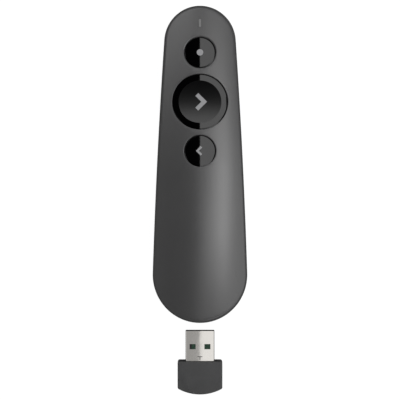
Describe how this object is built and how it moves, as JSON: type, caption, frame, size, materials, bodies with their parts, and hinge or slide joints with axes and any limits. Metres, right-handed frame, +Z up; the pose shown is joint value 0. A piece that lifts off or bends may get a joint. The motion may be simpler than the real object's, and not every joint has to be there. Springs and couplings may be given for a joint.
{
  "type": "wireless presentation clicker",
  "caption": "Hand-held wireless presenter with laser, forward and back buttons, hinged battery cover and a USB receiver that docks in its tail.",
  "frame": {"origin": "on the surface that the clicker lies on, in the middle of the ground that it and its drawn-out receiver cover", "axes": "+Y from tail to nose, +X to the right seen from above, +Z up"},
  "size_m": [0.0382, 0.1596, 0.025],
  "materials": {
    "casing_plastic": "fine satin texture, soft to the touch, dark graphite",
    "button_plastic": "polished black, the finger dish satin",
    "symbol_plastic": "light grey second shot, flush with the button",
    "window_plastic": "smoked red, clear to the laser",
    "light_pipe": "frosted clear acrylic",
    "board_laminate": "green solder mask",
    "switch_metal": "stamped, bright",
    "chip_resin": "black moulded resin",
    "led_resin": "white and translucent",
    "barrel_brass": "turned",
    "lens_glass": "clear",
    "lead_wire": "tinned",
    "cell_jacket": "plain shrink sleeve",
    "contact_steel": "nickel plated spring steel",
    "screw_steel": "blackened",
    "cap_plastic": "fine satin texture, dark graphite",
    "plug_steel": "nickel plated, lightly brushed",
    "tongue_plastic": "black moulded",
    "contact_gold": "gold flash"
  },
  "bodies": {
    "presenter": {"top_shell": "casing_plastic", "bottom_shell": "casing_plastic", "main_board": "board_laminate", "laser_switch": "switch_metal", "next_switch": "switch_metal", "back_switch": "switch_metal", "radio_chip": "chip_resin", "crystal": "switch_metal", "status_led": "led_resin", "light_pipe": "light_pipe", "laser_barrel": "barrel_brass", "laser_lens": "lens_glass", "laser_window": "window_plastic", "laser_leads": "lead_wire", "battery_left": "cell_jacket", "battery_right": "cell_jacket", "spring_left": "contact_steel", "spring_right": "contact_steel", "contact_left": "contact_steel", "contact_right": "contact_steel", "contact_bridge": "contact_steel", "case_screws": "screw_steel"},
    "laser_button": {"laser_button": "button_plastic", "laser_symbol": "symbol_plastic"},
    "next_button": {"next_button": "button_plastic", "next_symbol": "symbol_plastic"},
    "back_button": {"back_button": "button_plastic", "back_symbol": "symbol_plastic"},
    "battery_cover": {"battery_cover": "casing_plastic", "cover_latch": "casing_plastic"},
    "receiver": {"receiver_cap": "cap_plastic", "receiver_shell": "plug_steel", "receiver_tongue": "tongue_plastic", "receiver_board": "board_laminate", "receiver_contacts": "contact_gold"}
  },
  "joints": [
    {"name": "laser_press", "type": "slide", "parent": "presenter", "child": "laser_button", "axis": [0, 0, -1], "range_m": [0, 0.0004], "stiffness_N_per_m": 1000, "springref_m": -0.0004},
    {"name": "next_press", "type": "slide", "parent": "presenter", "child": "next_button", "axis": [0, 0, -1], "range_m": [0, 0.0004], "stiffness_N_per_m": 1200, "springref_m": -0.0004},
    {"name": "back_press", "type": "slide", "parent": "presenter", "child": "back_button", "axis": [0, 0, -1], "range_m": [0, 0.0004], "stiffness_N_per_m": 1000, "springref_m": -0.0004},
    {"name": "cover_hinge", "type": "hinge", "parent": "presenter", "child": "battery_cover", "pos_m": [0, -0.019, 0.00125], "axis": [-1, 0, 0], "range_deg": [0, 70], "deforming": ["cover_latch"]},
    {"name": "receiver_slide", "type": "slide", "parent": "presenter", "child": "receiver", "axis": [0, 1, 0], "range_m": [0, 0.0317]}
  ]
}
